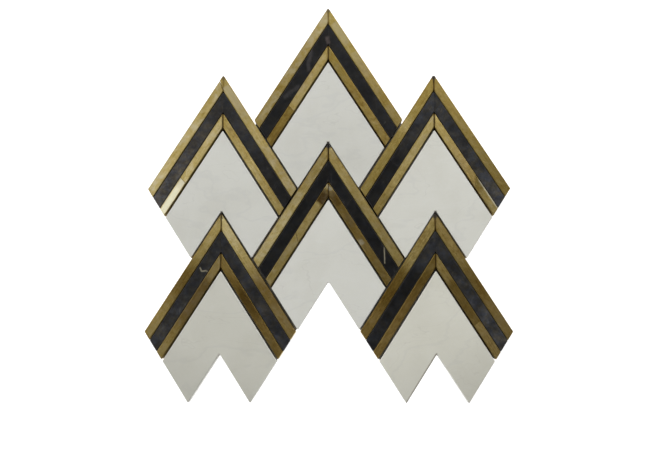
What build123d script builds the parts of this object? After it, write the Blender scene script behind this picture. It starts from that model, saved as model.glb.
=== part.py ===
from build123d import *
import math
import os

# Waterjet mosaic sheet of six interlocking chevron units, lying face up.
# Millimetres. +Z is out of the polished face, +Y is the way the chevrons point,
# the origin is under the middle of the sheet on the plane it rests on.

# ---- driving dimensions -------------------------------------------------
COLUMN_PITCH = 80.4        # apex to apex across, column to column
ROW_PITCH = 107.3          # apex to apex down one column
HALF_ANGLE = 32.5          # each arm leans this far from the chevron's centre line, degrees

WHITE_JOINT = 1.5          # white marble to inner brass strip
INNER_BRASS_WIDTH = 5.9
STRIP_JOINT = 0.45         # brass to black marble, both sides
BLACK_WIDTH = 8.4          # black marble strip
OUTER_BRASS_WIDTH = 6.75
SIDE_JOINT = 1.45          # outer brass to the lower side edge of the unit beside it
NOTCH_JOINT = 1.15         # outer brass to the notch of the unit above it in the column

MESH_THICKNESS = 0.8       # glass-fibre mesh with its bed of adhesive
PIECE_THICKNESS = 10.0     # stone and brass alike
SETTING = (0.0, 0.10, 0.04, 0.14, 0.02, 0.08, 0.05)     # how far pieces stop short of the face, in turn
MESH_INSET = 0.7           # the mesh is trimmed this far inside the pieces' edge

BRASS_EDGE_RADIUS = 0.5    # rolled long edges of the brass bar
BRASS_END_EASE = 0.15      # filed arris on the sawn ends of the bar
BLACK_ARRIS = 0.25         # eased top edge of the black marble
WHITE_ARRIS = 0.35         # eased top edge of the white marble
WHITE_CORNER = 0.5         # waterjet radius on the white marble's outer corners
NOTCH_CORNER = 0.9         # and in the root of its notch

OUTER_TIP_TRIM = 0.9       # the knife-thin mitre tips are nipped off square
INNER_TIP_TRIM = 0.9
BLACK_TIP_TRIM = 0.8
BLACK_MITRE = 0.07         # joint between the two black strips at the apex

# unit: column, half rows down, hand-set offset x, y, outer mitre joint, inner mitre joint,
# lean of the outer mitre in degrees
UNITS = {
    "top": (0, 0, 0.0, -0.45, 0.10, 0.45, 0.0),
    "upper_left": (-1, 1, -0.1, 0.1, 0.30, 0.45, 20.0),
    "upper_right": (1, 1, 0.25, -0.2, 0.35, 0.55, 0.0),
    "centre": (0, 2, 0.15, 0.3, 0.55, 0.40, 0.0),
    "lower_left": (-1, 3, -0.2, 0.15, 0.45, 0.40, 0.0),
    "lower_right": (1, 3, -0.1, 0.1, 0.40, 0.55, 0.0),
}

# Inner brass strips that are made up from two lengths. The joint is given by how far down the arm, from the
# white stone's apex, it crosses the strip's outer and its inner long edge, and by its width.
SPLITS = {
    ("top", -1): (44.6, 46.2, 0.08),
    ("upper_left", -1): (47.4, 49.2, 0.10),
    ("upper_right", 1): (46.0, 53.5, 0.12),
    ("centre", -1): (34.0, 39.6, 0.30),
    ("lower_right", 1): (48.8, 49.4, 0.10),
}

# ---- derived ------------------------------------------------------------
A = math.radians(HALF_ANGLE)
T = math.tan(A)
C = math.cos(A)
S = math.sin(A)
Z0 = MESH_THICKNESS
Z1 = MESH_THICKNESS + PIECE_THICKNESS

IN0 = WHITE_JOINT                       # distances out from the white marble's upper edge,
IN1 = IN0 + INNER_BRASS_WIDTH           # square to the arm
BK0 = IN1 + STRIP_JOINT
BK1 = BK0 + BLACK_WIDTH
OUT0 = BK1 + STRIP_JOINT
OUT1 = OUT0 + OUTER_BRASS_WIDTH

WHITE_HALF = (COLUMN_PITCH + T * ROW_PITCH / 2 - (OUT1 + SIDE_JOINT) / C) / 2     # half width of the white stone
NOTCH_DEPTH = ROW_PITCH - (OUT1 + NOTCH_JOINT) / S                 # its apex to its notch, down the middle
APEX_RISE = OUT1 / S                                               # outer brass apex above the white apex


# A unit is drawn with its white apex at (0, 0) and y pointing up.
# side is -1 for the left arm and +1 for the right arm.
def up_line(side, out):
    """x at height y of the line parallel to an arm, 'out' mm outside the white marble's edge."""
    return lambda y: side * (-T * y + out / C)


def low_line(side):
    """x at height y of the unit's lower side edge, which cuts the arm off."""
    return lambda y: side * (2 * WHITE_HALF + T * y)


def meet_low(side, out):
    """Where an arm's long line meets the unit's lower side edge."""
    y = (out / C - 2 * WHITE_HALF) / (2 * T)
    return (up_line(side, out)(y), y)


def prism(points, z0, z1):
    return extrude(make_face(Polyline(*[(x, y, z0) for x, y in points], close=True)), amount=z1 - z0)


def clip(points, a, b, c):
    """The part of a convex plan where a * x + b * y is no more than c."""
    out = []
    for p, q in zip(points, points[1:] + points[:1]):
        fp = a * p[0] + b * p[1] - c
        fq = a * q[0] + b * q[1] - c
        if fp <= 0:
            out.append(p)
        if (fp < 0 < fq) or (fq < 0 < fp):
            f = fp / (fp - fq)
            out.append((p[0] + f * (q[0] - p[0]), p[1] + f * (q[1] - p[1])))
    kept = []
    for p in out:
        if all(math.dist(p, q) > 1e-4 for q in kept):
            kept.append(p)
    return kept


def strip(side, inner, outer, trim, joint, lean=0.0):
    """Plan of one mitred strip. lean tilts the mitre off the centre line, so that one strip runs over the other."""
    k = math.tan(math.radians(lean))
    y_in = inner / S                                   # where the inner long line reaches the centre line
    far = outer / S + 20
    pts = [meet_low(side, inner), (up_line(side, inner)(far), far), (up_line(side, outer)(far), far),
           meet_low(side, outer)]
    pts = clip(pts, -side, -side * k, -joint / 2 - side * k * y_in)      # its own side of the mitre
    pts = clip(pts, -side, T, outer / C)                                 # inside the other arm's outer line
    return clip(pts, 0, 1, outer / S - trim)                             # the tip, nipped off level


def two_lengths(points, side, at_outer, at_inner, joint):
    """Cuts an inner strip's plan in two across a butt or scarf joint. The first part is the one with the mitre."""
    def on(dist, out):
        return (side * (dist * S + out * C), -dist * C + out * S)
    (xo, yo), (xi, yi) = on(at_outer, IN1), on(at_inner, IN0)
    length = math.dist((xo, yo), (xi, yi))
    nx, ny = (yi - yo) / length, -(xi - xo) / length
    if nx * side * S - ny * C < 0:                     # pointing down the arm
        nx, ny = -nx, -ny
    c = nx * xo + ny * yo
    return clip(points, nx, ny, c - joint / 2), clip(points, -nx, -ny, -c - joint / 2)


def long_edges(solid, z):
    """Top edges that run along the arm, which are the longest two."""
    tops = [e for e in solid.edges() if abs(e.center().Z - z) < 1e-4 and abs(e.bounding_box().size.Z) < 1e-4]
    tops.sort(key=lambda e: -e.length)
    return tops[:2], tops[2:]


def brass(points, face):
    body = prism(points, Z0, face).solids()[0]
    longs, ends = long_edges(body, face)
    body = fillet(longs, BRASS_EDGE_RADIUS).solids()[0]
    for shortest in (0.0, 1.2, 4.0):          # the sawn ends, and the nipped tip where it is wide enough to file
        ends = [e for e in body.edges() if abs(e.center().Z - face) < 1e-4
                and e.bounding_box().size.Z < 1e-4 and shortest < e.length < 20]
        try:
            return chamfer(ends, BRASS_END_EASE).solids()[0]
        except ValueError:
            continue
    print("an end is left sharp")
    return body


def black(points, face):
    body = prism(points, Z0, face).solids()[0]
    longs, ends = long_edges(body, face)
    low = min(ends, key=lambda e: e.center().Y)          # the mitre edges stay sharp, so the joint hardly shows
    return chamfer(longs + [low], BLACK_ARRIS).solids()[0]


def white(face):
    x_tip = WHITE_HALF - T * NOTCH_DEPTH / 2
    y_side = -WHITE_HALF / T
    y_tip = y_side - NOTCH_DEPTH / 2
    pts = [(0, 0), (-WHITE_HALF, y_side), (-x_tip, y_tip), (0, -NOTCH_DEPTH), (x_tip, y_tip), (WHITE_HALF, y_side)]
    body = prism(pts, Z0, face).solids()[0]
    uprights = [e for e in body.edges() if e.bounding_box().size.Z > PIECE_THICKNESS * 0.9]
    root = [e for e in uprights if abs(e.center().X) < 1e-3 and abs(e.center().Y + NOTCH_DEPTH) < 1e-3]
    outer = [e for e in uprights if e not in root]
    body = fillet(root, NOTCH_CORNER).solids()[0]
    outer = [e for e in body.edges() if e.bounding_box().size.Z > PIECE_THICKNESS * 0.9
             and any(math.dist((e.center().X, e.center().Y), p) < 1e-3 for p in pts)]
    body = fillet(outer, WHITE_CORNER).solids()[0]
    tops = body.faces().sort_by(Axis.Z)[-1].edges()
    return chamfer(tops, WHITE_ARRIS).solids()[0]


def place(u):
    """Where a unit's white apex is on the sheet."""
    col, row, dx, dy = UNITS[u][:4]
    return col * COLUMN_PITCH + dx, -row * ROW_PITCH / 2 + dy


def backing_outline(d):
    """The mesh: the outline of all six units together, d mm inside their edges, with the joints between units closed."""
    # every edge is x = slope * y + c
    def up(u, side):                      # a unit's outer long edge
        x0, y0 = place(u)
        return (-side * T, x0 + side * (T * y0 + (OUT1 - d) / C))

    def low(u, side):                     # a unit's lower side edge
        x0, y0 = place(u)
        return (side * T, x0 + side * (2 * WHITE_HALF - T * y0 - d / C))

    def notch(u, side):                   # the edge of its notch, taken d further out from the middle
        x0, y0 = place(u)
        return (-side * T, x0 + side * (T * (y0 - NOTCH_DEPTH) + d / C))

    edges = [up("top", 1), up("upper_right", -1), up("upper_right", 1), low("upper_right", 1),
             up("lower_right", 1), low("lower_right", 1), notch("lower_right", 1), notch("lower_right", -1),
             low("lower_right", -1),         # this edge runs on into the centre unit's notch
             low("lower_left", 1), notch("lower_left", 1), notch("lower_left", -1), low("lower_left", -1),
             up("lower_left", -1), low("upper_left", -1), up("upper_left", -1), up("upper_left", 1), up("top", -1)]
    pts = []
    for (s1, c1), (s2, c2) in zip(edges, edges[1:] + edges[:1]):
        y = (c2 - c1) / (s1 - s2)
        pts.append((s1 * y + c1, y))
    return pts


# ---- the pieces ----------------------------------------------------------
made = {}
count = 0


def face_height():
    """The next piece's face: the pieces sit a few hundredths of a millimetre up and down from each other."""
    global count
    count += 1
    return Z1 - SETTING[count * 3 % len(SETTING)]


for name, (col, row, dx, dy, joint_out, joint_in, lean) in UNITS.items():
    here = Location((*place(name), 0))
    made[f"{name}_white_marble"] = here * white(Z1)
    for side, word in ((-1, "left"), (1, "right")):
        inner = strip(side, IN0, IN1, INNER_TIP_TRIM, joint_in)
        if (name, side) in SPLITS:
            inner, rest = two_lengths(inner, side, *SPLITS[name, side])
            made[f"{name}_inner_brass_{word}_end"] = here * brass(rest, face_height() - 0.03)
        made[f"{name}_inner_brass_{word}"] = here * brass(inner, face_height())
        made[f"{name}_black_marble_{word}"] = here * black(
            strip(side, BK0, BK1, BLACK_TIP_TRIM, BLACK_MITRE), face_height() - 0.08)
        made[f"{name}_outer_brass_{word}"] = here * brass(
            strip(side, OUT0, OUT1, OUTER_TIP_TRIM, joint_out, lean), face_height())

made["mesh_backing"] = prism(backing_outline(MESH_INSET), 0, MESH_THICKNESS).solids()[0]

# the sheet's own middle goes to the origin
boxes = [s.bounding_box() for s in made.values()]
y_hi = max(b.max.Y for b in boxes)
y_lo = min(b.min.Y for b in boxes)
x_hi = max(b.max.X for b in boxes)
x_lo = min(b.min.X for b in boxes)
shift = Location((-(x_hi + x_lo) / 2, -(y_hi + y_lo) / 2, 0))

os.makedirs("parts", exist_ok=True)
for name, solid in made.items():
    export_step(shift * solid, f"parts/{name}.step")

print("sheet", round(x_hi - x_lo, 2), "x", round(y_hi - y_lo, 2), "x", round(Z1, 2))
print("top white apex at y", round(-(y_hi + y_lo) / 2, 3), "white half", round(WHITE_HALF, 3),
      "notch", round(NOTCH_DEPTH, 3))
print("nodes", len(made))
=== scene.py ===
import math

import bmesh
import bpy
from mathutils import Matrix, Vector, noise


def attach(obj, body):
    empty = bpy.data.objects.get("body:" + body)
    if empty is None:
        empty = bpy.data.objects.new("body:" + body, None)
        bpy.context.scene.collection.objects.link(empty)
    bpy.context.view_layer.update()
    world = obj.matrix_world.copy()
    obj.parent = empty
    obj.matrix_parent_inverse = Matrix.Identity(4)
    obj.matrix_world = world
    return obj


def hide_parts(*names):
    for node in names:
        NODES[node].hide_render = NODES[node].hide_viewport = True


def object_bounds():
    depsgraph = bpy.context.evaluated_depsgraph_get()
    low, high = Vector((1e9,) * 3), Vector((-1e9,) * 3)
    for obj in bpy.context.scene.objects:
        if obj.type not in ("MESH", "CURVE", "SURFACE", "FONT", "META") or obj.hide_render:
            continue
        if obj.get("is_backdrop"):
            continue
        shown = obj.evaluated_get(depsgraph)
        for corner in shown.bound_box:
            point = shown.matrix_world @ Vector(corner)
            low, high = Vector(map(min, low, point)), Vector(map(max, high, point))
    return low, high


# ---------------------------------------------------------------- frame
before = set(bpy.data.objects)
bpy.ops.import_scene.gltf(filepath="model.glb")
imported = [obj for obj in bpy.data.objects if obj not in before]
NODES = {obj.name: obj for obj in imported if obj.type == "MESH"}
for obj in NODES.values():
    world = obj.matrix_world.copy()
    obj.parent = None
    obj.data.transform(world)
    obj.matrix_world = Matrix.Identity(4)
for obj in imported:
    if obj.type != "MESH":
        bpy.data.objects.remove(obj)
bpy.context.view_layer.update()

MM = 0.001
COLUMN_PITCH = 80.4
ROW_PITCH = 107.3
HALF_ANGLE = math.radians(32.5)
T, C, S = math.tan(HALF_ANGLE), math.cos(HALF_ANGLE), math.sin(HALF_ANGLE)
ROW_X, ROW_Y = -0.025, 107.819      # where the pattern's own zero is on the sheet
BACK_Z, FACE_Z = 0.8, 10.8          # the pieces' backs and their finished face
WHITE_HALF, NOTCH_DEPTH = 42.528, 61.515
OUTLINE = 23.45                     # outer brass, square out from the white stone's edge
# column, half rows down, hand-set offset
UNITS = {"top": (0, 0, 0.0, -0.45), "upper_left": (-1, 1, -0.1, 0.1), "upper_right": (1, 1, 0.25, -0.2),
         "centre": (0, 2, 0.15, 0.3), "lower_left": (-1, 3, -0.2, 0.15), "lower_right": (1, 3, -0.1, 0.1)}
BANDS = {"inner_brass": (1.5, 7.4), "black_marble": (7.85, 16.25), "outer_brass": (16.7, 23.45)}
LEFT, RIGHT = -1, 1
WORDS = {LEFT: "left", RIGHT: "right"}


def origin(u):
    """A unit's white apex, mm."""
    col, row, dx, dy = UNITS[u]
    return Vector((ROW_X + col * COLUMN_PITCH + dx, ROW_Y - row * ROW_PITCH / 2 + dy, 0))


def down(side):
    return Vector((side * S, -C, 0))


def out(side):
    return Vector((side * C, S, 0))


def at(u, side, along, across):
    """The point that is 'along' mm down the arm from the white apex and 'across' mm out from its edge."""
    return origin(u) + along * down(side) + across * out(side)


# ---------------------------------------------------------------- camera
a, b, c = (math.radians(v) for v in (-6.722, -1.228, 0.130))
look = Matrix.Rotation(c, 3, "Z") @ Matrix.Rotation(b, 3, "Y") @ Matrix.Rotation(a, 3, "X")
cam_data = bpy.data.cameras.new("camera")
cam = bpy.data.objects.new("camera", cam_data)
bpy.context.collection.objects.link(cam)
cam_data.sensor_width = 36
cam_data.lens = 50
cam_data.clip_start = 0.01
cam_data.clip_end = 20
cam.matrix_world = (Matrix.Translation(Vector((12.107, -205.692 + ROW_Y, 673.798 + FACE_Z)) * MM)
                    @ look.transposed().to_4x4())
bpy.context.scene.camera = cam


# ---------------------------------------------------------------- node helper
class Tree:
    """Short names for building a material's nodes."""

    def __init__(self, mat):
        mat.use_nodes = True
        self.t = mat.node_tree
        self.t.nodes.clear()

    def node(self, kind, inputs=None, **props):
        n = self.t.nodes.new(kind)
        for k, v in props.items():
            setattr(n, k, v)
        for k, v in (inputs or {}).items():
            self.put(n.inputs[k], v)
        return n

    def put(self, socket, v):
        if isinstance(v, bpy.types.NodeSocket):
            self.t.links.new(v, socket)
        elif v is not None:
            socket.default_value = v

    def math(self, op, x, y=None, z=None, clamp=False):
        n = self.node("ShaderNodeMath", operation=op, use_clamp=clamp)
        for i, v in enumerate((x, y, z)):
            if v is not None:
                self.put(n.inputs[i], v)
        return n.outputs[0]

    def vec(self, op, x, y=None, scale=None):
        n = self.node("ShaderNodeVectorMath", operation=op)
        self.put(n.inputs[0], x)
        if y is not None:
            self.put(n.inputs[1], y)
        if scale is not None:
            self.put(n.inputs["Scale"], scale)
        return n.outputs["Value"] if op in ("DOT_PRODUCT", "LENGTH", "DISTANCE") else n.outputs[0]

    def xyz(self, x=0.0, y=0.0, z=0.0):
        n = self.node("ShaderNodeCombineXYZ")
        for i, v in enumerate((x, y, z)):
            self.put(n.inputs[i], v)
        return n.outputs[0]

    def split(self, v):
        n = self.node("ShaderNodeSeparateXYZ")
        self.put(n.inputs[0], v)
        return n.outputs

    def noise(self, v, scale=1.0, detail=2.0, rough=0.5, distortion=0.0):
        n = self.node("ShaderNodeTexNoise", {"Vector": v, "Scale": scale, "Detail": detail,
                                             "Roughness": rough, "Distortion": distortion})
        return n.outputs[0]

    def field(self, p, scale, seed=0.0, detail=3.0, rough=0.55, distortion=0.0):
        """Noise over a place in mm."""
        sx, sy, sz = scale if isinstance(scale, tuple) else (scale,) * 3
        q = self.vec("ADD", self.vec("MULTIPLY", p, (sx, sy, sz)), (seed, seed * 0.37, -seed * 0.61))
        return self.noise(q, 1.0, detail, rough, distortion)

    def ramp(self, f, lo, hi, to_lo=0.0, to_hi=1.0, smooth=True):
        n = self.node("ShaderNodeMapRange", {"Value": f, "From Min": lo, "From Max": hi,
                                             "To Min": to_lo, "To Max": to_hi},
                      interpolation_type="SMOOTHSTEP" if smooth else "LINEAR")
        return n.outputs[0]

    def mix(self, f, x, y, blend="MIX"):
        n = self.node("ShaderNodeMix", data_type="RGBA", blend_type=blend)
        self.put(n.inputs[0], f)
        self.put(n.inputs[6], x)
        self.put(n.inputs[7], y)
        return n.outputs[2]

    def mixf(self, f, x, y):
        n = self.node("ShaderNodeMix", data_type="FLOAT")
        self.put(n.inputs[0], f)
        self.put(n.inputs[2], x)
        self.put(n.inputs[3], y)
        return n.outputs[0]

    def grey(self, f):
        n = self.node("ShaderNodeCombineColor")
        for i in range(3):
            self.put(n.inputs[i], f)
        return n.outputs[0]

    def bump(self, height, distance, strength=1.0, normal=None):
        n = self.node("ShaderNodeBump", {"Height": height, "Distance": distance, "Strength": strength})
        if normal is not None:
            self.put(n.inputs["Normal"], normal)
        return n.outputs[0]

    def finish(self, **sockets):
        p = self.node("ShaderNodeBsdfPrincipled")
        for k, v in sockets.items():
            self.put(p.inputs[k.replace("_", " ")], v)
        o = self.node("ShaderNodeOutputMaterial")
        self.t.links.new(p.outputs[0], o.inputs[0])
        return p


def rgb(r, g, b):
    return (r, g, b, 1.0)


def new_material(name):
    mat = bpy.data.materials.new(name)
    t = Tree(mat)
    tc = t.node("ShaderNodeTexCoord")
    p = t.vec("SCALE", tc.outputs["Object"], scale=1000.0)     # place in mm
    up = t.split(tc.outputs["Normal"])[2]                      # how much a face looks up
    return mat, t, p, up


def arm_place(t, p, u, side):
    """Place down the arm and out from the white stone's edge, mm."""
    rel = t.vec("SUBTRACT", p, origin(u))
    return t.vec("DOT_PRODUCT", rel, down(side)), t.vec("DOT_PRODUCT", rel, out(side))


def spread(t, p, value, amount, scale, seed):
    """value, shifted a little from place to place so that an edge made from it isn't ruled straight."""
    return t.math("MULTIPLY_ADD", t.math("SUBTRACT", t.field(p, scale, seed), 0.5), amount, value)


# ---------------------------------------------------------------- brass
LIGHT = rgb(0.69, 0.56, 0.26)
MID = rgb(0.58, 0.445, 0.150)
DARK = rgb(0.33, 0.225, 0.060)
BRONZE = rgb(0.135, 0.080, 0.019)
STAIN = rgb(0.085, 0.046, 0.010)
# pale brass for rubbed spots, for painted reflection haze and for painted edge highlights
SHEEN_AND_WEAR_BRASS = rgb(0.71, 0.655, 0.47)
POINT_BLACK = rgb(0.010, 0.010, 0.013)


def brass_material(name, u, side, band, tone=1.0, tarnish=0.35, pale=0.2, seam_shade=0.3, seed=0.0, run=(), stains=(),
                   reflection_haze=(), rubs=(), edge_highlight=(), tip=0.0, hue=(1.0, 1.0), line=None, rich=1.45):
    """tone: how bright the bar is, partly its tarnish and partly painted reflection brightness; hue: at its head and
    lower down, more than 1 is greener and less is more orange; tarnish and pale: how far it is browned and how
    strongly it carries a pale painted reflection haze; seam_shade: painted joint shade beside the black stone;
    run: (mm down the arm, brightness) pairs; stains: brown stretches as (from, to, strength); reflection_haze:
    pale painted reflections as (from, to, strength); rubs: pale spots as (place, radius, strength);
    edge_highlight: where the edge beside the black stone carries a painted highlight, as reflection_haze;
    tip: how dark the outer point is made; line: the painted shade line on the edge away from the black stone;
    rich: how strongly a darker bar is yellower."""
    lo, hi = BANDS[band]
    mid, half = (lo + hi) / 2, (hi - lo) / 2
    mat, t, p, up = new_material(name)
    along, away = arm_place(t, p, u, side)
    across = t.math("SUBTRACT", away, mid)
    z = t.split(p)[2]
    top = t.ramp(up, 0.70, 0.95)

    # brush lines run the length of the bar
    fine = t.noise(t.xyz(t.math("MULTIPLY", along, 0.06), t.math("MULTIPLY", across, 8.0),
                         t.math("MULTIPLY_ADD", z, 8.0, seed)), 1.0, 2.0, 0.6)
    coarse = t.noise(t.xyz(t.math("MULTIPLY", along, 0.035), t.math("MULTIPLY", across, 1.5),
                           t.math("MULTIPLY_ADD", z, 1.5, seed + 7)), 1.0, 2.0, 0.5)
    # a few handling scratches that cross them
    skew = t.xyz(t.math("MULTIPLY", t.math("MULTIPLY_ADD", across, 2.2, along), 0.11),
                 t.math("MULTIPLY", t.math("MULTIPLY_ADD", along, -0.35, across), 2.6), seed * 1.3)
    scratch = t.ramp(t.math("ABSOLUTE", t.math("SUBTRACT", t.noise(skew, 1.0, 1.0, 0.4), 0.62)), 0.012, 0.0)

    cloud = t.field(p, 0.06, seed, 3.0, 0.55)
    blotch = t.field(p, 0.24, seed + 3, 4.0, 0.62, 0.6)
    mottle = t.field(p, 0.95, seed + 5, 3.0, 0.6)
    spots = t.field(p, 1.7, seed + 9, 1.0, 0.5)
    sheen_noise = t.field(p, 0.15, seed + 12, 4.0, 0.62, 0.5)

    # tarnish: none is pale gold, half is gold, full is dark olive brown
    amount = t.math("MULTIPLY_ADD", t.math("SUBTRACT", cloud, 0.5), 1.2, tarnish)
    amount = t.math("MULTIPLY_ADD", t.math("SUBTRACT", blotch, 0.5), 1.5, amount)
    amount = t.math("MULTIPLY_ADD", t.math("SUBTRACT", mottle, 0.5), 0.85, amount)
    amount = t.math("MULTIPLY_ADD", t.math("SUBTRACT", coarse, 0.5), 1.0, amount)
    amount = t.math("MINIMUM", t.math("MAXIMUM", amount, 0.0), 1.0)
    colour = t.mix(t.ramp(amount, 0.0, 0.5, smooth=False), LIGHT, MID)
    colour = t.mix(t.ramp(amount, 0.5, 1.0, smooth=False), colour, DARK)
    # darker brass is also deeper in colour
    level = run[0][1] if run else 1.0
    if run:
        shifted = spread(t, p, along, 6.0, 0.16, seed + 2)
        for (a0, f0), (a1, f1) in zip(run, run[1:]):
            level = t.math("ADD", level, t.ramp(shifted, a0, a1, 0.0, f1 - f0))
    level = t.math("MULTIPLY", level, tone * 1.055)
    green = t.ramp(along, 0.0, 28.0, *hue)
    deep = t.node("ShaderNodeCombineColor", {0: t.math("POWER", level, 0.87), 1: t.math("MULTIPLY", level, green),
                                             2: t.math("MULTIPLY", t.math("POWER", level, rich), green)}).outputs[0]
    colour = t.mix(1.0, colour, deep, "MULTIPLY")
    brown = stained = 0.0
    for a0, a1, strength in stains:
        edge = spread(t, p, along, 5.0, 0.35, seed + a0)
        m = t.math("MULTIPLY", t.ramp(edge, a0 - 1.8, a0 + 1.8), t.ramp(edge, a1 + 1.8, a1 - 1.8))
        m = t.math("MULTIPLY", m, t.ramp(blotch, 0.25, 0.6, 0.88, 1.0))
        stained = t.math("MULTIPLY_ADD", m, strength, stained)
    # painted joint shade: a band beside the black stone, a thin line on the other edge and the mitre, where the gaps
    # and rounded edges fall dark; then a few brown dirt spots
    toward = 1.0 if band == "inner_brass" else -1.0
    near_black = spread(t, p, t.math("MULTIPLY_ADD", across, -toward, half), 0.9, 0.55, seed + 4)
    brown = t.math("MULTIPLY_ADD", t.ramp(near_black, 1.25, 0.25), seam_shade, brown)
    far_edge = spread(t, p, t.math("MULTIPLY_ADD", across, toward, half), 0.6, 0.5, seed + 6)
    if line is None:
        line = 0.5 if band == "inner_brass" else 0.7
    brown = t.math("MULTIPLY_ADD", t.ramp(far_edge, 0.75, 0.2), line, brown)
    middle = t.math("ABSOLUTE", t.math("SUBTRACT", t.split(p)[0], origin(u).x))
    middle = spread(t, p, middle, 0.8, 0.6, seed + 8)
    brown = t.math("MULTIPLY_ADD", t.ramp(middle, 1.3, 0.3), 0.75 if band == "inner_brass" else 0.3 + 0.65 * tip, brown)
    brown = t.math("MULTIPLY_ADD", t.ramp(spots, 0.68, 0.78), 0.40, brown)
    brown = t.math("MINIMUM", brown, 0.95)

    # painted reflection haze: pale veils, strongest on the bars that mirror the bright lamps, kept off the joint shade
    wear_and_sheen = t.math("MULTIPLY", t.ramp(sheen_noise, 0.44, 0.66, 0.0, pale), t.math("SUBTRACT", 1.0, brown))
    # painted reflection: pale stretches where the bar mirrors a lamp
    for a0, a1, strength in reflection_haze:
        edge = spread(t, p, along, 3.0, 0.3, seed + a1)
        m = t.math("MULTIPLY", t.ramp(edge, a0 - 0.6, a0 + 0.6), t.ramp(edge, a1 + 2.0, a1 - 2.0))
        m = t.math("MULTIPLY", m, t.ramp(t.math("ABSOLUTE", across), half - 0.3, half - 1.3))
        m = t.math("MULTIPLY", m, t.ramp(blotch, 0.2, 0.6, strength * 0.7, strength))
        wear_and_sheen = t.math("MAXIMUM", wear_and_sheen, m)
    for place, radius, strength in rubs:
        far = spread(t, p, t.vec("DISTANCE", p, place + Vector((0, 0, FACE_Z))), radius, 0.5, seed + radius)
        m = t.math("MULTIPLY", t.ramp(far, radius, radius * 0.3), t.ramp(mottle, 0.3, 0.55, 0.55, 1.0))
        wear_and_sheen = t.math("MAXIMUM", wear_and_sheen, t.math("MULTIPLY", m, strength))
    # painted highlight on the rounded edge beside the black stone
    for a0, a1, strength in edge_highlight:
        m = t.math("MULTIPLY", t.ramp(along, a0 - 2.0, a0 + 4.0), t.ramp(along, a1 + 2.0, a1 - 2.0))
        m = t.math("MULTIPLY", m, t.ramp(near_black, 1.35, 0.55, 0.0, strength))
        wear_and_sheen = t.math("MAXIMUM", wear_and_sheen, m)
    colour = t.mix(t.ramp(fine, 0.35, 0.75, 0.0, 0.22), colour, DARK)
    bright = t.mix(1.0, rgb(0.85, 0.74, 0.45), t.grey(t.math("POWER", level, 0.8)), "MULTIPLY")
    colour = t.mix(t.math("MULTIPLY", scratch, 0.25), colour, bright)
    colour = t.mix(brown, colour, BRONZE)
    if stains:
        colour = t.mix(t.math("MINIMUM", stained, 0.96), colour, STAIN)
    colour = t.mix(wear_and_sheen, colour, t.mix(1.0, SHEEN_AND_WEAR_BRASS, t.grey(t.math("POWER", level, 0.7)), "MULTIPLY"))
    metal = t.math("SUBTRACT", 1.0, t.math("MULTIPLY", wear_and_sheen, 0.6))
    # jet-cut sides: upright lines, duller and browner than the face
    jet = t.field(p, (2.4, 2.4, 0.14), seed, 3.0, 0.6)
    sides = t.mix(t.ramp(jet, 0.3, 0.7), rgb(0.52, 0.395, 0.142), rgb(0.28, 0.20, 0.066))
    sides = t.mix(t.ramp(z, 3.0, 0.8, 0.0, 0.5), sides, BRONZE)
    # the painted joint shade goes over the rounded edge and a little way down
    sides = t.mix(t.math("MULTIPLY", brown, t.ramp(z, FACE_Z - 2.5, FACE_Z - 0.4, 0.0, 0.9)), sides, BRONZE)
    # the painted edge highlight also runs onto that edge's side
    if edge_highlight:
        sides = t.mix(t.math("MULTIPLY", wear_and_sheen, t.ramp(z, FACE_Z - 1.2, FACE_Z - 0.5)), sides, SHEEN_AND_WEAR_BRASS)
    colour = t.mix(top, sides, colour)
    # the outer point is darkened almost to black
    if tip:
        point = origin(u) + Vector((0, OUTLINE / S - 1.5, FACE_Z))
        far = spread(t, p, t.vec("DISTANCE", p, point), 0.8, 0.7, seed)
        m = t.ramp(far, 3.5, 2.1, 0.0, tip)
        colour = t.mix(m, colour, POINT_BLACK)
        metal = t.math("MULTIPLY", metal, t.math("SUBTRACT", 1.0, m))

    rough = t.math("MULTIPLY_ADD", coarse, 0.12, 0.25)
    rough = t.math("MULTIPLY_ADD", amount, 0.12, rough)
    rough = t.math("MULTIPLY_ADD", brown, 0.06, rough)
    rough = t.mixf(top, 0.50, rough)
    height = t.math("MULTIPLY_ADD", scratch, -0.8, fine)
    height = t.math("MULTIPLY_ADD", coarse, 0.6, height)
    height = t.mixf(top, t.math("MULTIPLY", jet, 3.0), height)
    t.finish(Base_Color=colour, Metallic=metal, Roughness=rough, Normal=t.bump(height, 0.00007, 0.6))
    return mat


# ---------------------------------------------------------------- stone
def vein(t, p, points, width, wobble, seed):
    """How strongly a point lies on a vein through the given places, mm: 1 on the line and 0 beside it."""
    w = t.math("SUBTRACT", t.field(p, 0.45, seed, 3.0, 0.6), 0.5)
    end = max(0.7, 0.8 * width)
    on = 0.0
    for a0, b0 in zip(points, points[1:]):
        ab = b0 - a0
        ln = ab.length
        d = ab / ln
        rel = t.vec("SUBTRACT", p, a0)
        x = t.vec("DOT_PRODUCT", rel, d)
        y = t.vec("DOT_PRODUCT", rel, Vector((-d.y, d.x, 0)))
        y = t.math("MULTIPLY_ADD", w, wobble, y)
        near = t.ramp(t.math("ABSOLUTE", y), width, width * 0.2)
        near = t.math("MULTIPLY", near, t.math("MULTIPLY", t.ramp(x, -end, 0.3), t.ramp(x, ln + end, ln - 0.3)))
        on = t.math("MAXIMUM", on, near)
    return on


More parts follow.
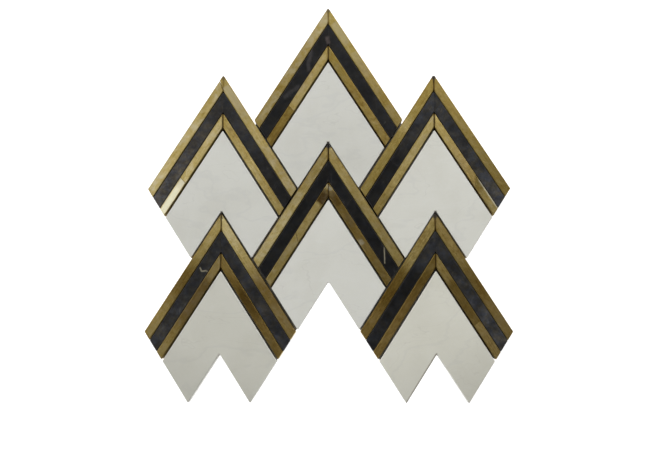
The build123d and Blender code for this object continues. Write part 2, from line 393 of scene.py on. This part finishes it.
def black_material(name, u, side, level=1.0, warm=0.0, run=(), cloudy=1.0, seed=0.0, veins=(), patches=()):
    """level: how grey the stone is; warm: how brown; run: (mm down the arm, greyness) pairs; level and run stand
    partly for the stone's own greyness and partly for painted reflection brightness; veins: (points, width,
    wobble, strength, colour); patches: (place, radius, strength, colour)."""
    mat, t, p, up = new_material(name)
    along, away = arm_place(t, p, u, side)
    top = t.ramp(up, 0.5, 0.97)
    cloud = t.field(p, 0.10, seed, 4.0, 0.62)
    patch = t.field(p, 0.42, seed + 2, 3.0, 0.6)
    grain = t.field(p, 2.3, seed + 4, 3.0, 0.65)
    fleck = t.field(p, 1.3, seed + 6, 1.0, 0.5)

    dark = t.math("MULTIPLY_ADD", t.ramp(cloud, 0.35, 0.70), 0.009 * cloudy, 0.0045)
    dark = t.math("MULTIPLY_ADD", t.ramp(patch, 0.40, 0.75), 0.006 * cloudy, dark)
    dark = t.math("MULTIPLY_ADD", t.ramp(grain, 0.45, 0.80), 0.007, dark)
    # partly painted reflection brightness: the greyness changes along the arm as the lamps' reflection would
    if run:
        shifted = spread(t, p, along, 8.0, 0.14, seed + 1)
        lev = run[0][1]
        for (a0, f0), (a1, f1) in zip(run, run[1:]):
            lev = t.math("ADD", lev, t.ramp(shifted, a0, a1, 0.0, f1 - f0))
        dark = t.math("MULTIPLY", dark, lev)
    dark = t.math("MULTIPLY", dark, level)
    base = t.mix(1.0, t.grey(dark), rgb(1.0 + warm, 1.0 + 0.35 * warm, 1.0 - 0.5 * warm), "MULTIPLY")
    hue = t.field(p, 0.28, seed + 8, 3.0, 0.6)
    base = t.mix(1.0, base, t.mix(t.ramp(hue, 0.35, 0.65), rgb(0.88, 0.95, 1.15), rgb(1.14, 1.03, 0.82)), "MULTIPLY")
    base = t.mix(t.ramp(fleck, 0.68, 0.80, 0.0, 0.30), base, rgb(0.075, 0.072, 0.068))
    # hair-fine pale threads that every piece of this marble has
    warp = t.field(p, (0.075, 0.030, 0.05), seed + 11, 3.0, 0.5, 0.5)
    thread = t.ramp(t.math("ABSOLUTE", t.math("SUBTRACT", warp, 0.53)), 0.0045, 0.0, 0.0, 0.16)
    thread = t.math("MULTIPLY", thread, t.ramp(cloud, 0.38, 0.60))
    base = t.mix(thread, base, rgb(0.24, 0.23, 0.21))
    for points, width, wobble, strength, colour in veins:
        m = vein(t, p, points, width, wobble, seed + points[0].x)
        m = t.math("MULTIPLY", m, t.ramp(patch, 0.25, 0.55, 0.6, 1.0))
        base = t.mix(t.math("MULTIPLY", m, strength), base, colour)
    for place, radius, strength, colour in patches:
        far = spread(t, p, t.vec("DISTANCE", p, place + Vector((0, 0, FACE_Z))), radius * 0.9, 0.5, seed + radius)
        m = t.math("MULTIPLY", t.ramp(far, radius, radius * 0.15), t.ramp(grain, 0.3, 0.6, 0.5, 1.0))
        base = t.mix(t.math("MULTIPLY", m, strength), base, colour)
    # the polished face turns a little brown where it meets the brass
    lo, hi = BANDS["black_marble"]
    edge = spread(t, p, t.math("ABSOLUTE", t.math("SUBTRACT", away, (lo + hi) / 2)), 0.5, 0.6, seed)
    base = t.mix(t.ramp(edge, (hi - lo) / 2 - 0.7, (hi - lo) / 2 - 0.1, 0.0, 0.22), base, rgb(0.055, 0.040, 0.016))
    jet = t.field(p, (2.6, 2.6, 0.16), seed, 3.0, 0.6)
    sides = t.mix(t.ramp(jet, 0.3, 0.7), rgb(0.028, 0.028, 0.029), rgb(0.085, 0.085, 0.085))
    colour = t.mix(top, sides, base)
    rough = t.mixf(top, 0.75, t.math("MULTIPLY_ADD", cloud, 0.16, 0.27))
    height = t.mixf(top, t.math("MULTIPLY", jet, 1.6), t.math("MULTIPLY", grain, 0.10))
    t.finish(Base_Color=colour, Roughness=rough, Specular_IOR_Level=0.25, Normal=t.bump(height, 0.0002, 0.6))
    return mat


def white_material(name, u, seed=0.0, tone=1.0, warm=0.0, tail=1.0, fall=(0, 1), shaded_edges=()):
    """tone: how light the stone is, partly its own tone and partly painted light; warm: how yellow; tail: how light
    it is at the far end, away from the direction 'fall', which is painted shade; shaded_edges: painted shade on
    edges as (from, to, width, strength), mm from the white apex."""
    mat, t, p, up = new_material(name)
    top = t.ramp(up, 0.5, 0.97)
    cloud = t.field(p, 0.028, seed, 5.0, 0.55, 0.4)
    drift = t.field(p, (0.05, 0.16, 0.1), seed + 3, 4.0, 0.55, 0.6)
    mottle = t.field(p, 0.45, seed + 5, 3.0, 0.6)
    grain = t.field(p, 3.2, seed + 7, 2.0, 0.6)
    base = t.mix(t.ramp(cloud, 0.35, 0.70), rgb(0.715, 0.715, 0.655), rgb(0.675, 0.672, 0.608))
    base = t.mix(t.ramp(drift, 0.50, 0.78, 0.0, 0.35), base, rgb(0.745, 0.750, 0.705))
    base = t.mix(t.ramp(mottle, 0.45, 0.78, 0.0, 0.30), base, rgb(0.730, 0.730, 0.700))
    # faint grey veining, and crystals that catch the light
    warp = t.field(p, (0.013, 0.026, 0.02), seed + 9, 4.0, 0.52, 0.3)
    soft = t.ramp(t.math("ABSOLUTE", t.math("SUBTRACT", warp, 0.54)), 0.022, 0.0, 0.0, 0.14)
    line = t.ramp(t.math("ABSOLUTE", t.math("SUBTRACT", warp, 0.47)), 0.004, 0.0, 0.0, 0.20)
    base = t.mix(soft, base, rgb(0.50, 0.505, 0.50))
    base = t.mix(line, base, rgb(0.47, 0.46, 0.42))
    base = t.mix(t.ramp(grain, 0.60, 0.78, 0.0, 0.12), base, rgb(0.82, 0.82, 0.80))
    # painted shade: the stone darkens toward its far end, as the light falls off there
    below = t.vec("DOT_PRODUCT", t.vec("SUBTRACT", p, origin(u)), (-fall[0], -fall[1], 0))
    painted_falloff = t.ramp(spread(t, p, below, 10.0, 0.03, seed), 45.0, 100.0, tone, tone * tail)
    base = t.mix(1.0, base, t.grey(painted_falloff), "MULTIPLY")
    if warm:
        base = t.mix(1.0, base, rgb(1.0, 1.0 - 0.2 * warm, 1.0 - warm), "MULTIPLY")
    jet = t.field(p, (2.6, 2.6, 0.16), seed, 3.0, 0.6)
    sides = t.mix(t.ramp(jet, 0.3, 0.7), rgb(0.73, 0.725, 0.68), rgb(0.84, 0.84, 0.81))
    colour = t.mix(top, sides, base)
    # painted shade on the upper edge where the light falls away, and at the notch root
    for p0, p1, width, strength in shaded_edges:
        m = vein(t, p, [origin(u) + Vector((*p0, 0)), origin(u) + Vector((*p1, 0))], width, 0.5, seed + width)
        m = t.math("MULTIPLY", m, t.ramp(mottle, 0.3, 0.6, 0.6, 1.0))
        m = t.math("MULTIPLY", m, t.ramp(t.split(p)[2], FACE_Z - 3.0, FACE_Z - 1.0))
        colour = t.mix(t.math("MULTIPLY", m, strength), colour, rgb(0.16, 0.13, 0.095))
    rough = t.mixf(top, 0.85, t.math("MULTIPLY_ADD", mottle, 0.16, 0.38))
    height = t.mixf(top, t.math("MULTIPLY", jet, 1.6), t.math("MULTIPLY", grain, 0.10))
    t.finish(Base_Color=colour, Roughness=rough, Normal=t.bump(height, 0.0002, 0.6))
    return mat


def put(node, mat):
    o = NODES[node]
    o.data.materials.clear()
    o.data.materials.append(mat)
    for f in o.data.polygons:
        f.material_index = 0


# each bar has its own brightness, standing partly for its tarnish and partly for painted reflection brightness: how
# bright it is, how it changes down its length, and where it is stained
BAR = {
    "top_outer_brass_left": dict(tone=0.70, tarnish=0.3, run=[(-25, 1.12), (10, 0.94), (42, 0.84)], tip=0.45, pale=0.4),
    "top_outer_brass_right": dict(hue=(1.05, 1.0), tone=0.60, tarnish=0.45, run=[(20, 1.0), (45, 0.95)], tip=0.45,
                                  pale=0.1,
                                  reflection_haze=[(-24, -4, 0.30), (4, 26, 0.22)]),
    "top_inner_brass_left": dict(line=0.1, tone=0.83, pale=0.2),
    "top_inner_brass_left_end": dict(tone=0.50, tarnish=0.65, pale=0.0),
    "top_inner_brass_right": dict(hue=(1.04, 1.0), tone=0.48, tarnish=0.5, run=[(20, 0.9), (55, 1.2)], pale=0.1),
    "upper_left_outer_brass_left": dict(hue=(1.01, 1.0), tone=0.77, tarnish=0.25, run=[(-20, 0.95), (60, 1.3)],
                                        pale=0.5),
    "upper_left_outer_brass_right": dict(hue=(1.02, 1.0), tone=0.78, tarnish=0.3, run=[(-6, 0.80), (12, 1.1)],
                                         tip=0.4, pale=0.3,
                                         reflection_haze=[(-28, -6, 0.4)]),
    "upper_left_inner_brass_left": dict(line=0.1, tone=1.0, seam_shade=0.3, tarnish=0.25, run=[(20, 0.93), (40, 1.1)],
                                        pale=0.35),
    # painted reflection: this end bar is made near white where it mirrors the north-west lamp
    "upper_left_inner_brass_left_end": dict(tone=1.55, seam_shade=0.3, tarnish=0.1, pale=0.5, run=[(50, 0.77), (60, 1.1)],
                                            reflection_haze=[(40, 90, 1.0)]),
    "upper_left_inner_brass_right": dict(line=0.4, tone=0.86, tarnish=0.45, run=[(10, 0.9), (34, 1.15), (66, 0.95)],
                                         pale=0.1),
    "upper_right_outer_brass_left": dict(rich=1.9, tone=0.78, tarnish=0.55, run=[(-4, 0.96), (8, 1.3), (22, 0.98)],
                                         tip=0.8,
                                         pale=0.0),
    "upper_right_outer_brass_right": dict(tone=0.59, tarnish=0.5, tip=0.8, pale=0.05),
    "upper_right_inner_brass_left": dict(line=0.1, tone=1.12, tarnish=0.5, run=[(48, 1.0), (70, 0.62)], pale=0.05),
    "upper_right_inner_brass_right": dict(line=0.2, hue=(1.0, 0.95), tone=1.0, tarnish=0.45, run=[(24, 1.0), (44, 0.9)],
                                          pale=0.05),
    "upper_right_inner_brass_right_end": dict(tone=0.90, run=[(52, 0.57), (66, 1.0)], pale=0.2, seam_shade=0.1,
                                              edge_highlight=[(49, 76, 0.9)]),
    "centre_outer_brass_left": dict(tone=0.90, run=[(-15, 0.78), (45, 1.35)], tip=0.95, pale=0.3),
    "centre_outer_brass_right": dict(tone=0.82, tarnish=0.4, tip=0.95, pale=0.15),
    "centre_inner_brass_left": dict(line=0.3, tone=0.85, stains=[(-6.5, 6, 0.75), (-2.5, 6, 0.5)], pale=0.1,
                                    rubs=[(at("centre", LEFT, -8.2, 5.7), 2.2, 0.5)]),
    "centre_inner_brass_left_end": dict(tone=0.72, tarnish=0.25, pale=0.2),
    "centre_inner_brass_right": dict(hue=(1.0, 0.96), tone=0.42, run=[(0, 0.78), (30, 0.92), (46, 1.1)],
                                     tarnish=0.4, stains=[(-3, 8, 0.65), (17, 27, 0.25)], pale=0.15,
                                     rubs=[(at("centre", RIGHT, 40.5, 3.2), 3.4, 0.75),
                                           (at("centre", RIGHT, -6.6, 5.4), 3.0, 0.85)]),
    "lower_left_outer_brass_left": dict(hue=(1.0, 0.97), tone=1.05, tarnish=0.45,
                                        run=[(-18, 0.93), (-8, 0.72), (17, 0.29), (26, 0.32), (50, 0.72)],
                                        tip=0.4, pale=0.1),
    "lower_left_outer_brass_right": dict(hue=(1.0, 0.94), tone=1.05, tarnish=0.4,
                                         run=[(-20, 1.28), (0, 1.1), (28, 0.41), (60, 0.68)], tip=0.4,
                                         pale=0.15),
    "lower_left_inner_brass_left": dict(rich=1.15, run=[(3, 0.6), (15, 0.27), (40, 0.30), (65, 0.7)], pale=0.15),
    "lower_left_inner_brass_right": dict(rich=1.35, hue=(0.98, 0.94), run=[(2, 0.5), (28, 0.17), (60, 0.55)],
                                         tarnish=0.5,
                                         pale=0.0),
    "lower_right_outer_brass_left": dict(rich=1.6, hue=(1.0, 0.91), tone=1.1, tarnish=0.6,
                                         run=[(4, 0.94), (16, 0.40), (38, 0.33), (52, 0.65)],
                                         tip=0.85, pale=0.0),
    "lower_right_outer_brass_right": dict(hue=(0.97, 0.93), tone=1.1, tarnish=0.5,
                                          run=[(0, 0.77), (16, 0.46), (60, 0.8)], tip=0.85,
                                          pale=0.05),
    "lower_right_inner_brass_left": dict(hue=(0.97, 0.92), tone=1.05, run=[(0, 0.43), (10, 0.35), (60, 0.72)],
                                         tarnish=0.6, pale=0.0),
    "lower_right_inner_brass_right": dict(hue=(0.97, 0.94), tone=1.0, run=[(6, 0.85), (16, 0.42), (48, 0.55)],
                                          tarnish=0.5, pale=0.05),
    "lower_right_inner_brass_right_end": dict(hue=(0.93, 0.93), tone=1.1, tarnish=0.55, pale=0.0),
}
PALE = rgb(0.30, 0.27, 0.19)
SMOKE = rgb(0.085, 0.078, 0.078)
SMUDGE = rgb(0.12, 0.095, 0.09)
STONE = {
    "top_black_marble_left": dict(level=0.6, veins=[
        ([at("top", LEFT, -1, 16.2), at("top", LEFT, 3, 14.2), at("top", LEFT, 9, 12.6), at("top", LEFT, 13, 9.2)],
         2.3, 2.6, 0.40, SMOKE),
        ([at("top", LEFT, 28, 8.5), at("top", LEFT, 34, 11.5), at("top", LEFT, 41, 13.5)], 2.4, 2.6, 0.32, SMOKE),
        ([origin("top") + Vector((-0.9, 19.8, 0)), origin("top") + Vector((0.3, 15.4, 0))], 2.2, 1.8, 0.55, SMUDGE)]),
    "top_black_marble_right": dict(level=0.9, veins=[([origin("top") + Vector((-0.9, 19.8, 0)),
                                                       origin("top") + Vector((0.3, 15.4, 0))], 2.2, 1.8, 0.55, SMUDGE)]),
    "upper_left_black_marble_left": dict(run=[(-10, 2.3), (65, 6.0)], warm=0.12),
    "upper_left_black_marble_right": dict(run=[(5, 2.0), (60, 0.9)]),
    "upper_right_black_marble_left": dict(run=[(-10, 2.6), (45, 0.6)]),
    "upper_right_black_marble_right": dict(run=[(0, 2.4), (40, 2.8), (65, 4.5)]),
    "centre_black_marble_left": dict(level=0.6),
    "centre_black_marble_right": dict(level=0.6,
                                      veins=[([at("centre", RIGHT, 53.0, 15.7), at("centre", RIGHT, 58.5, 12.5),
                                                          at("centre", RIGHT, 63.3, 9.6)], 0.62, 0.25, 0.95, PALE)]),
    "lower_left_black_marble_left": dict(run=[(0, 1.9), (60, 3.2)],
                                         veins=[([origin("lower_left") + Vector(v) for v in
                                                 ((-15.6, 2.7, 0), (-14.3, -0.2, 0), (-11.0, 0.3, 0), (-9.0, -1.2, 0))],
                                                 0.85, 0.5, 0.8, PALE)]),
    "lower_left_black_marble_right": dict(run=[(0, 2.3), (60, 2.9)]),
    "lower_right_black_marble_left": dict(run=[(-10, 2.3), (18, 0.85), (38, 0.8), (60, 1.9)]),
    "lower_right_black_marble_right": dict(run=[(-10, 2.1), (60, 4.8)]),
}
TAIL_Y = (-T * NOTCH_DEPTH - 2 * WHITE_HALF) / (2 * T)      # the white stone's tails, from its apex
TAIL_X = -T * (TAIL_Y + NOTCH_DEPTH)
ROOT = ((-0.8, -NOTCH_DEPTH - 0.9), (0.8, -NOTCH_DEPTH - 0.9))
# shaded_edges are painted shade at the notch root and along notch and lower edges; tone and tail are partly painted
# light
WHITE = {"top": dict(tone=0.97, shaded_edges=[(*ROOT, 1.2, 0.95)]), "upper_left": dict(tone=1.0, shaded_edges=[(*ROOT, 0.9, 0.5)]),
         "upper_right": dict(tone=1.08, warm=0.01, shaded_edges=[(*ROOT, 1.1, 0.9)]),
         "centre": dict(tone=1.07),
         "lower_left": dict(tone=0.945, warm=0.05, tail=0.88, fall=(0.45, 0.9),
                            shaded_edges=[((-0.2, -NOTCH_DEPTH), (-TAIL_X, TAIL_Y), 1.0, 0.28)]),
         "lower_right": dict(tone=1.09, warm=0.06, tail=0.845, fall=(-0.25, 0.97),
                             shaded_edges=[((-0.3, -NOTCH_DEPTH + 0.2), (-TAIL_X - 0.2, TAIL_Y), 1.15, 0.75),
                                    ((WHITE_HALF, -WHITE_HALF / T - 6), (TAIL_X, TAIL_Y), 0.9, 0.35)])}
for i, u in enumerate(UNITS):
    put(f"{u}_white_marble", white_material(f"{u}_white", u, seed=3.1 * i, **WHITE.get(u, {})))
    for side, word in WORDS.items():
        for j, band in enumerate(("inner_brass", "outer_brass")):
            for k, tail in enumerate(("", "_end")):
                node = f"{u}_{band}_{word}{tail}"
                if node in NODES:
                    put(node, brass_material(node, u, side, band, seed=5.3 * i + 2.1 * j + side + 9.7 * k,
                                             **BAR.get(node, {})))
        node = f"{u}_black_marble_{word}"
        put(node, black_material(node, u, side, seed=1.7 * i + side, **STONE.get(node, {})))


# ---------------------------------------------------------------- the back: net and adhesive
def joined(name, verts, faces, mats, index=None):
    mesh = bpy.data.meshes.new(name)
    mesh.from_pydata([Vector(v) * MM for v in verts], [], faces)
    for m in mats:
        mesh.materials.append(m)
    if index:
        mesh.polygons.foreach_set("material_index", index)
    mesh.update()
    o = bpy.data.objects.new(name, mesh)
    bpy.context.collection.objects.link(o)
    return o


def back_outline(node):
    """The outline of a node's underside, mm, anticlockwise seen from above."""
    bm = bmesh.new()
    bm.from_mesh(NODES[node].data)
    bmesh.ops.remove_doubles(bm, verts=bm.verts, dist=1e-6)
    lows = {f for f in bm.faces if f.normal.z < -0.9}
    nxt = {}
    for e in bm.edges:
        near = [f for f in e.link_faces if f in lows]
        if len(near) == 1:
            loop = next(l for l in near[0].loops if l.edge == e)
            nxt[loop.link_loop_next.vert] = loop.vert
    start = v = next(iter(nxt))
    pts = []
    while True:
        pts.append((v.co.x / MM, v.co.y / MM))
        v = nxt[v]
        if v == start:
            break
    bm.free()
    if sum(p[0] * q[1] - q[0] * p[1] for p, q in zip(pts, pts[1:] + pts[:1])) < 0:
        pts.reverse()
    return pts


OUT = back_outline("mesh_backing")


def spans(value, axis):
    """Where the line x = value (axis 0) or y = value (axis 1) lies inside the outline."""
    hits = []
    for p, q in zip(OUT, OUT[1:] + OUT[:1]):
        if (p[axis] - value) * (q[axis] - value) < 0:
            f = (value - p[axis]) / (q[axis] - p[axis])
            hits.append(p[1 - axis] + f * (q[1 - axis] - p[1 - axis]))
    hits.sort()
    return list(zip(hits[::2], hits[1::2]))


def thread(verts, faces, centres, across, wide, thick, sides):
    """A closed thread through the given places. across is the way its width lies."""
    base = len(verts)
    for i, p in enumerate(centres):
        q = centres[min(i + 1, len(centres) - 1)] - centres[max(i - 1, 0)]
        q.normalize()
        lift = q.cross(across).normalized()
        for k in range(sides):
            ang = 2 * math.pi * (k + 0.5) / sides
            v = p + across * (wide * math.cos(ang)) + lift * (thick * math.sin(ang))
            verts.append((v.x, v.y, v.z))
    n = len(centres)
    for i in range(n - 1):
        for k in range(sides):
            a0 = base + i * sides + k
            b0 = base + i * sides + (k + 1) % sides
            faces.append((a0, b0, b0 + sides, a0 + sides))
    faces.append(tuple(base + k for k in reversed(range(sides))))
    faces.append(tuple(base + (n - 1) * sides + k for k in range(sides)))


def wob(x, y, z=0.0):
    return noise.noise(Vector((x, y, z)))


PITCH = 5.0
NET_Z = 0.31
warp_v, warp_f, weft_v, weft_f = [], [], [], []
x_axis, y_axis = Vector((1, 0, 0)), Vector((0, 1, 0))
for i in range(-28, 29):
    x0 = i * PITCH + 1.3
    for y0, y1 in spans(x0, 0):
        if y1 - y0 < 3:
            continue
        y0 += 0.25 + 0.3 * abs(wob(i * 1.7, y0))
        y1 -= 0.25 + 0.3 * abs(wob(i * 2.3, y1))
        for s in (-1, 1):
            pts = []
            steps = max(2, round((y1 - y0) / (PITCH / 4)))
            for k in range(steps + 1):
                y = y0 + (y1 - y0) * k / steps
                turn = math.pi * (y - 0.6) / PITCH
                x = x0 + 0.22 * wob(i * 3.1, y * 0.035) + s * 0.27 * math.sin(turn)
                pts.append(Vector((x, y, NET_Z + s * 0.155 * math.cos(turn))))
            thread(warp_v, warp_f, pts, x_axis, 0.22, 0.085, 5)
for j in range(-31, 32):
    y0 = j * PITCH + 0.6
    for x0, x1 in spans(y0, 1):
        if x1 - x0 < 3:
            continue
        x0 += 0.25 + 0.3 * abs(wob(j * 1.9, x0, 4))
        x1 -= 0.25 + 0.3 * abs(wob(j * 2.1, x1, 4))
        steps = max(2, round((x1 - x0) / (PITCH / 2)))
        pts = []
        for k in range(steps + 1):
            x = x0 + (x1 - x0) * k / steps
            pts.append(Vector((x, y0 + 0.20 * wob(x * 0.03, j * 2.7, 9), NET_Z + 0.02 * wob(x * 0.4, j))))
        thread(weft_v, weft_f, pts, y_axis, 0.55, 0.065, 6)


def clip(points, a0, b0, c0):
    """The part of a convex plan where a0 * x + b0 * y is no more than c0."""
    kept = []
    for p, q in zip(points, points[1:] + points[:1]):
        fp = a0 * p[0] + b0 * p[1] - c0
        fq = a0 * q[0] + b0 * q[1] - c0
        if fp <= 0:
            kept.append(p)
        if (fp < 0 < fq) or (fq < 0 < fp):
            f = fp / (fp - fq)
            kept.append((p[0] + f * (q[0] - p[0]), p[1] + f * (q[1] - p[1])))
    return kept


def low_side(side, gap):
    """The unit's lower side edge as a half plane, its own frame: the arm ends there."""
    return side * C, -S, (2 * WHITE_HALF * C) - gap


def strip_plan(u, side, lo, hi, gap):
    """Plan of a strip, drawn in by gap all round."""
    o = origin(u)
    far = 60 + hi
    dn, ot = down(side), out(side)
    corners = [far * -dn + (lo + gap) * ot, far * -dn + (hi - gap) * ot, 130 * dn + (hi - gap) * ot,
               130 * dn + (lo + gap) * ot]
    pts = [(v.x, v.y) for v in corners]
    pts = clip(pts, -side, 0, -gap)
    pts = clip(pts, *low_side(side, gap))
    return [(x + o.x, y + o.y) for x, y in pts]


def white_plan(u, gap):
    """Plan of a white stone, drawn in by gap all round."""
    o = origin(u)
    apex = -gap / S
    half = WHITE_HALF - gap / C
    root = -NOTCH_DEPTH + gap / S
    y_side = -WHITE_HALF / T
    # the lower side edge and the notch edge cross at the tail
    # low: x = 2 * WHITE_HALF + T * y - gap / C, notch: x = -T * (y - root)
    y_tail = (T * root - 2 * WHITE_HALF + gap / C) / (2 * T)
    x_tail = -T * (y_tail - root)
    pts = [(0, apex), (-half, y_side), (-x_tail, y_tail), (0, root), (x_tail, y_tail), (half, y_side)]
    return [(x + o.x, y + o.y) for x, y in pts]


def ragged(points, step, amount, seed):
    """The same plan with its sides broken up and its corners rounded."""
    area = sum(p[0] * q[1] - q[0] * p[1] for p, q in zip(points, points[1:] + points[:1]))
    if area < 0:
        points = points[::-1]
    made = []
    for p, q in zip(points, points[1:] + points[:1]):
        ln = math.dist(p, q)
        n = max(1, round(ln / step))
        nx, ny = (q[1] - p[1]) / ln, -(q[0] - p[0]) / ln
        for k in range(n):
            x, y = p[0] + (q[0] - p[0]) * k / n, p[1] + (q[1] - p[1]) * k / n
            w = amount * wob(x * 0.31 + seed, y * 0.31, seed) if k else 0.0
            made.append((x + nx * w, y + ny * w))
    cut = []
    for p, q in zip(made, made[1:] + made[:1]):
        cut.append((p[0] * 0.75 + q[0] * 0.25, p[1] * 0.75 + q[1] * 0.25))
        cut.append((p[0] * 0.25 + q[0] * 0.75, p[1] * 0.25 + q[1] * 0.75))
    return cut


def slab(verts, faces, plan, z_low, z_top, ease):
    """A thin flat piece with its lower edge eased by 'ease' mm."""
    n = len(plan)
    base = len(verts)
    inner = []
    for i in range(n):
        p, q = plan[i - 1], plan[(i + 1) % n]
        ln = math.dist(p, q) or 1.0
        nx, ny = -(q[1] - p[1]) / ln, (q[0] - p[0]) / ln
        inner.append((plan[i][0] + nx * ease, plan[i][1] + ny * ease))
    for ring, z in ((inner, z_low), (plan, z_low + ease), (plan, z_top)):
        verts.extend((x, y, z) for x, y in ring)
    for r in (0, 1):
        for i in range(n):
            j = (i + 1) % n
            a0, b0 = base + r * n + i, base + r * n + j
            faces.append((a0, b0, b0 + n, a0 + n))
    faces.append(tuple(base + i for i in reversed(range(n))))
    faces.append(tuple(base + 2 * n + i for i in range(n)))


def fibre_material(name, along_x):
    mat, t, p, up = new_material(name)
    scale = (0.3, 9.0, 9.0) if along_x else (9.0, 0.3, 9.0)
    strands = t.field(p, scale, 1.0, 2.0, 0.6)
    grime = t.field(p, 0.05, 8.0, 4.0, 0.6)
    glue = t.field(p, 0.5, 3.0, 3.0, 0.6)
    colour = t.mix(strands, rgb(0.62, 0.62, 0.58), rgb(0.80, 0.80, 0.77))
    colour = t.mix(t.ramp(grime, 0.45, 0.75, 0.0, 0.35), colour, rgb(0.52, 0.49, 0.41))
    colour = t.mix(t.ramp(glue, 0.5, 0.7, 0.0, 0.3), colour, rgb(0.66, 0.64, 0.56))
    t.finish(Base_Color=colour, Roughness=t.ramp(glue, 0.45, 0.65, 0.55, 0.25),
             Normal=t.bump(strands, 0.00008, 0.8))
    return mat


def glue_material(name, thin, thick, seed):
    """Dried milky adhesive: the piece behind it shows through where it is thin."""
    mat, t, p, up = new_material(name)
    cloud = t.field(p, 0.09, seed, 4.0, 0.6, 0.8)
    comb = t.field(p, (0.9, 0.12, 0.5), seed + 2, 2.0, 0.5, 0.5)
    bubble = t.field(p, 2.2, seed + 4, 1.0, 0.5)
    body = t.math("MULTIPLY_ADD", comb, 0.35, t.math("MULTIPLY", cloud, 0.75))
    colour = t.mix(t.ramp(body, 0.35, 0.70), thin, thick)
    colour = t.mix(t.ramp(bubble, 0.68, 0.78, 0.0, 0.4), colour, thin)
    height = t.math("MULTIPLY_ADD", t.ramp(bubble, 0.62, 0.78), -0.6, body)
    t.finish(Base_Color=colour, Roughness=t.ramp(cloud, 0.3, 0.7, 0.22, 0.42), Normal=t.bump(height, 0.0003, 0.7))
    return mat


fibre_x = fibre_material("fibre_weft", True)
fibre_y = fibre_material("fibre_warp", False)
glue_bed = glue_material("adhesive_bed", rgb(0.34, 0.33, 0.29), rgb(0.52, 0.51, 0.46), 1.0)
glue_white = glue_material("adhesive_over_white", rgb(0.50, 0.49, 0.44), rgb(0.64, 0.63, 0.58), 2.0)
glue_black = glue_material("adhesive_over_black", rgb(0.10, 0.10, 0.10), rgb(0.34, 0.34, 0.32), 3.0)
glue_brass = glue_material("adhesive_over_brass", rgb(0.30, 0.25, 0.13), rgb(0.46, 0.43, 0.34), 4.0)

pieces = [joined("backing_net_warp", warp_v, warp_f, [fibre_y]),
          joined("backing_net_weft", weft_v, weft_f, [fibre_x])]
for o in pieces:
    for f in o.data.polygons:
        f.use_smooth = len(f.vertices) == 4

bed_v, bed_f, bed_m = [], [], []
slab(bed_v, bed_f, ragged(OUT, 3.5, 0.25, 5.0), 0.64, BACK_Z, 0.05)
bed_m += [0] * (len(bed_f) - len(bed_m))
for i, u in enumerate(UNITS):
    slab(bed_v, bed_f, ragged(white_plan(u, 1.0), 3.0, 0.5, i + 1.0), 0.44, 0.66, 0.12)
    bed_m += [1] * (len(bed_f) - len(bed_m))
    for side in (LEFT, RIGHT):
        for band, (lo, hi) in BANDS.items():
            plan = ragged(strip_plan(u, side, lo, hi, 0.8), 3.0, 0.45, 3.0 * i + side + lo)
            slab(bed_v, bed_f, plan, 0.44 if band == "black_marble" else 0.48, 0.66, 0.12)
            bed_m += [2 if band == "black_marble" else 3] * (len(bed_f) - len(bed_m))
pieces.append(joined("backing_adhesive", bed_v, bed_f, [glue_bed, glue_white, glue_black, glue_brass], bed_m))
for o in pieces:
    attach(o, "root")
    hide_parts("mesh_backing")

# ---------------------------------------------------------------- floor and light
bpy.ops.mesh.primitive_plane_add(size=8, location=(0, 0, -0.0002))
floor = bpy.context.object
floor.name = "floor"
mat, t, p, up = new_material("floor")
t.finish(Base_Color=rgb(0.9, 0.9, 0.9), Roughness=0.8, Emission_Color=rgb(1, 1, 1), Emission_Strength=0.85)
floor.data.materials.append(mat)
floor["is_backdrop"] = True

world = bpy.data.worlds.new("world")
bpy.context.scene.world = world
world.use_nodes = True
sky = world.node_tree.nodes["Background"]
sky.inputs[0].default_value = rgb(1, 1, 1)
# the studio's pale walls are brighter than its ceiling
way = world.node_tree.nodes.new("ShaderNodeTexCoord")
part = world.node_tree.nodes.new("ShaderNodeSeparateXYZ")
rise = world.node_tree.nodes.new("ShaderNodeMapRange")
rise.interpolation_type = "SMOOTHSTEP"
for i, v in ((1, 0.62), (2, 0.28), (3, 0.10), (4, 0.78)):
    rise.inputs[i].default_value = v
world.node_tree.links.new(way.outputs["Generated"], part.inputs[0])
world.node_tree.links.new(part.outputs[2], rise.inputs[0])
world.node_tree.links.new(rise.outputs[0], sky.inputs[1])


def panel(name, place, size, power, aim=(0, 0, 0), tint=(1, 1, 1)):
    data = bpy.data.lights.new(name, "AREA")
    data.shape = "RECTANGLE"
    data.size, data.size_y = size
    data.energy = power
    data.color = tint
    o = bpy.data.objects.new(name, data)
    bpy.context.collection.objects.link(o)
    o.location = place
    o.rotation_mode = "QUATERNION"
    o.rotation_quaternion = (Vector(aim) - Vector(place)).to_track_quat("-Z", "Y")
    return o


panel("north_east", (0.45, 0.85, 1.05), (0.8, 0.6), 4.1)
panel("north_west", (-0.60, 0.55, 1.10), (0.5, 0.9), 1.9)
panel("left", (-1.3, 0.0, 0.75), (0.6, 1.6), 7.3)
panel("north_low", (0.25, 1.15, 0.70), (1.0, 0.5), 8.4)

bpy.context.scene.view_settings.view_transform = "Standard"
bpy.context.scene.view_settings.look = "None"

# ---------------------------------------------------------------- size and end
lo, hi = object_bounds()
